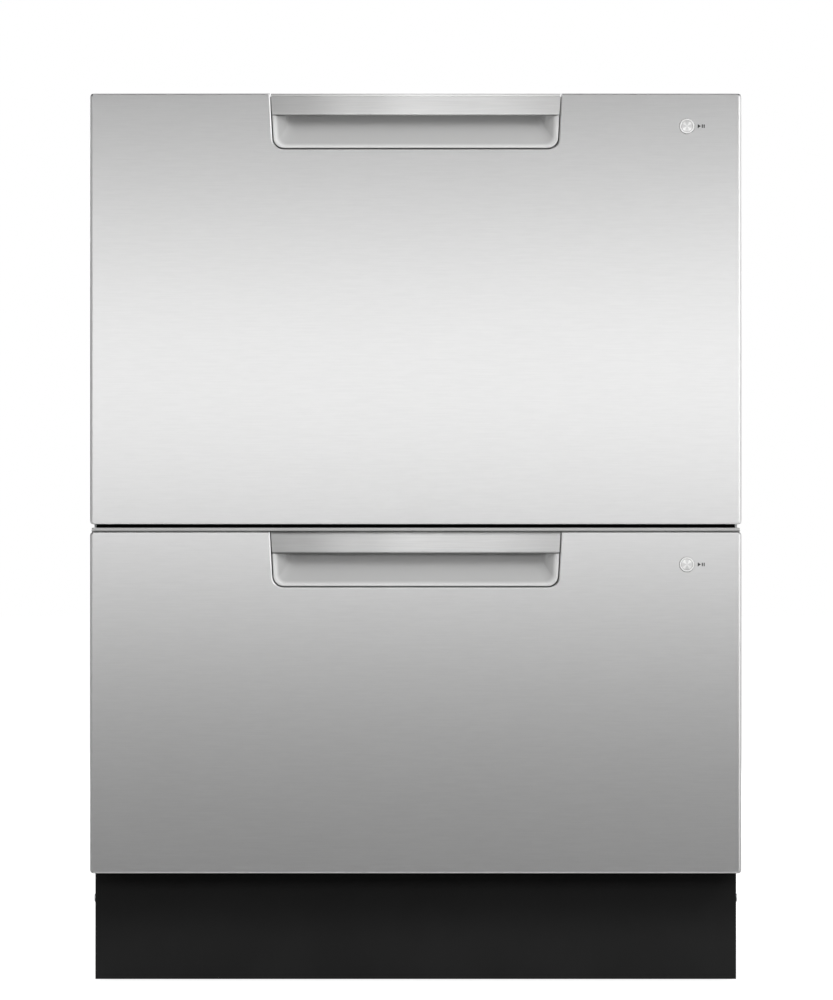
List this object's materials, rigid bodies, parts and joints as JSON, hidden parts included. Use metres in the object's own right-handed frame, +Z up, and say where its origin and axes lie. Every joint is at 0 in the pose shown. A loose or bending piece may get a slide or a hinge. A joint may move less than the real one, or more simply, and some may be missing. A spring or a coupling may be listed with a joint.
{
  "type": "double drawer dishwasher",
  "caption": "Built-in dishwasher with two independent pull-out wash drawers, steel fronts with scooped handles, round start buttons and a black kick plate.",
  "frame": {"origin": "on the floor, at the centre of the footprint", "axes": "+Z up, -Y towards the user, +X to the user's right"},
  "size_m": [0.599, 0.573, 0.82],
  "materials": {
    "steel_skin": "brushed level, satin",
    "steel_grip": "brushed level, satin",
    "frame_moulding": "satin",
    "cap_moulding": "satin",
    "pocket_moulding": "satin silver",
    "button_metal": "spun",
    "tub_moulding": "satin",
    "runner_steel": "zinc plated",
    "motor_black": "matt",
    "rotor_plastic": "satin",
    "filter_plastic": "satin",
    "spray_plastic": "satin",
    "coated_wire": "nylon coated",
    "tine_wire": "nylon coated",
    "cup_rack_plastic": "satin",
    "basket_plastic": "satin",
    "dispenser_plastic": "satin",
    "door_plastic": "gloss",
    "lid_moulding": "satin",
    "seal_rubber": "matt",
    "actuator_black": "matt",
    "hose_rubber": "matt, ribbed",
    "tray_plastic": "matt",
    "zinc_sheet": "galvanised",
    "rail_black": "matt",
    "kick_black": "satin",
    "foot_black": "matt",
    "screw_steel": "plated",
    "valve_plastic": "satin",
    "drain_plastic": "satin",
    "box_black": "matt"
  },
  "bodies": {
    "chassis": {"base_tray": "tray_plastic", "left_side_panel": "zinc_sheet", "right_side_panel": "zinc_sheet", "rear_panel": "zinc_sheet", "top_panel": "zinc_sheet", "middle_rail": "rail_black", "kick_plate": "kick_black", "chassis_screws": "screw_steel", "inlet_valve": "valve_plastic", "drain_connector": "drain_plastic", "power_box": "box_black", "upper_fixed_runners": "runner_steel", "upper_lid_actuators": "actuator_black", "upper_hose_link": "hose_rubber", "lower_fixed_runners": "runner_steel", "lower_lid_actuators": "actuator_black", "lower_hose_link": "hose_rubber"},
    "feet": {"levelling_feet": "foot_black"},
    "upper_drawer": {"upper_front_panel": "steel_skin", "upper_front_backing": "frame_moulding", "upper_top_cap": "cap_moulding", "upper_handle_pocket": "pocket_moulding", "upper_handle_grip": "steel_grip", "upper_tub": "tub_moulding", "upper_drawer_runners": "runner_steel", "upper_wash_motor": "motor_black", "upper_filter_plate": "filter_plastic", "upper_dish_rack": "coated_wire", "upper_cutlery_basket": "basket_plastic", "upper_detergent_dispenser": "dispenser_plastic"},
    "upper_runner_slides": {"upper_middle_runners": "runner_steel"},
    "upper_start": {"upper_start_button": "button_metal"},
    "upper_spray": {"upper_spray_arm": "spray_plastic"},
    "upper_rotor": {"upper_pump_rotor": "rotor_plastic"},
    "upper_tines": {"upper_folding_tines": "tine_wire"},
    "upper_cups": {"upper_cup_rack": "cup_rack_plastic"},
    "upper_door": {"upper_dispenser_door": "door_plastic"},
    "upper_lid_group": {"upper_lid": "lid_moulding", "upper_lid_seal": "seal_rubber"},
    "lower_drawer": {"lower_front_panel": "steel_skin", "lower_front_backing": "frame_moulding", "lower_top_cap": "cap_moulding", "lower_handle_pocket": "pocket_moulding", "lower_handle_grip": "steel_grip", "lower_tub": "tub_moulding", "lower_drawer_runners": "runner_steel", "lower_wash_motor": "motor_black", "lower_filter_plate": "filter_plastic", "lower_dish_rack": "coated_wire", "lower_cutlery_basket": "basket_plastic", "lower_detergent_dispenser": "dispenser_plastic"},
    "lower_runner_slides": {"lower_middle_runners": "runner_steel"},
    "lower_start": {"lower_start_button": "button_metal"},
    "lower_spray": {"lower_spray_arm": "spray_plastic"},
    "lower_rotor": {"lower_pump_rotor": "rotor_plastic"},
    "lower_tines": {"lower_folding_tines": "tine_wire"},
    "lower_cups": {"lower_cup_rack": "cup_rack_plastic"},
    "lower_door": {"lower_dispenser_door": "door_plastic"},
    "lower_lid_group": {"lower_lid": "lid_moulding", "lower_lid_seal": "seal_rubber"}
  },
  "joints": [
    {"name": "feet_height", "type": "slide", "parent": "chassis", "child": "feet", "axis": [0, 0, -1], "range_m": [0, 0.045]},
    {"name": "upper_drawer_slide", "type": "slide", "parent": "chassis", "child": "upper_drawer", "axis": [0, -1, 0], "range_m": [0, 0.48], "deforming": ["upper_hose_link"]},
    {"name": "upper_runner_slide", "type": "slide", "parent": "chassis", "child": "upper_runner_slides", "axis": [0, -1, 0], "range_m": [0, 0.24]},
    {"name": "upper_start_press", "type": "slide", "parent": "upper_drawer", "child": "upper_start", "axis": [0, 1, 0], "range_m": [0, 0.0012], "stiffness_N_per_m": 1000, "springref_m": -0.001},
    {"name": "upper_spray_spin", "type": "hinge", "parent": "upper_drawer", "child": "upper_spray", "pos_m": [0, -0.007, 0.491], "axis": [0, 0, 1], "continuous": true},
    {"name": "upper_rotor_spin", "type": "hinge", "parent": "upper_drawer", "child": "upper_rotor", "pos_m": [0, -0.007, 0.462], "axis": [0, 0, 1], "continuous": true},
    {"name": "upper_tine_fold", "type": "hinge", "parent": "upper_drawer", "child": "upper_tines", "pos_m": [-0.046, 0.001, 0.5226], "axis": [1, 0, 0], "range_deg": [0, 84]},
    {"name": "upper_cup_fold", "type": "hinge", "parent": "upper_drawer", "child": "upper_cups", "pos_m": [-0.2576, -0.007, 0.605], "axis": [0, -1, 0], "range_deg": [0, 88]},
    {"name": "upper_door_flap", "type": "hinge", "parent": "upper_drawer", "child": "upper_door", "pos_m": [-0.033, -0.221, 0.704], "axis": [-1, 0, 0], "range_deg": [0, 85]},
    {"name": "upper_lid_lower", "type": "slide", "parent": "chassis", "child": "upper_lid_group", "axis": [0, 0, -1], "range_m": [0, 0.009]},
    {"name": "lower_drawer_slide", "type": "slide", "parent": "chassis", "child": "lower_drawer", "axis": [0, -1, 0], "range_m": [0, 0.48], "deforming": ["lower_hose_link"]},
    {"name": "lower_runner_slide", "type": "slide", "parent": "chassis", "child": "lower_runner_slides", "axis": [0, -1, 0], "range_m": [0, 0.24]},
    {"name": "lower_start_press", "type": "slide", "parent": "lower_drawer", "child": "lower_start", "axis": [0, 1, 0], "range_m": [0, 0.0012], "stiffness_N_per_m": 1000, "springref_m": -0.001},
    {"name": "lower_spray_spin", "type": "hinge", "parent": "lower_drawer", "child": "lower_spray", "pos_m": [0, -0.007, 0.17], "axis": [0, 0, 1], "continuous": true},
    {"name": "lower_rotor_spin", "type": "hinge", "parent": "lower_drawer", "child": "lower_rotor", "pos_m": [0, -0.007, 0.141], "axis": [0, 0, 1], "continuous": true},
    {"name": "lower_tine_fold", "type": "hinge", "parent": "lower_drawer", "child": "lower_tines", "pos_m": [-0.046, 0.001, 0.2016], "axis": [1, 0, 0], "range_deg": [0, 84]},
    {"name": "lower_cup_fold", "type": "hinge", "parent": "lower_drawer", "child": "lower_cups", "pos_m": [-0.2576, -0.007, 0.284], "axis": [0, -1, 0], "range_deg": [0, 88]},
    {"name": "lower_door_flap", "type": "hinge", "parent": "lower_drawer", "child": "lower_door", "pos_m": [-0.033, -0.221, 0.301], "axis": [-1, 0, 0], "range_deg": [0, 85]},
    {"name": "lower_lid_lower", "type": "slide", "parent": "chassis", "child": "lower_lid_group", "axis": [0, 0, -1], "range_m": [0, 0.009]}
  ],
  "couplings": [
    {"joint": "upper_runner_slide", "follows": "upper_drawer_slide", "ratio": 0.5},
    {"joint": "lower_runner_slide", "follows": "lower_drawer_slide", "ratio": 0.5}
  ]
}
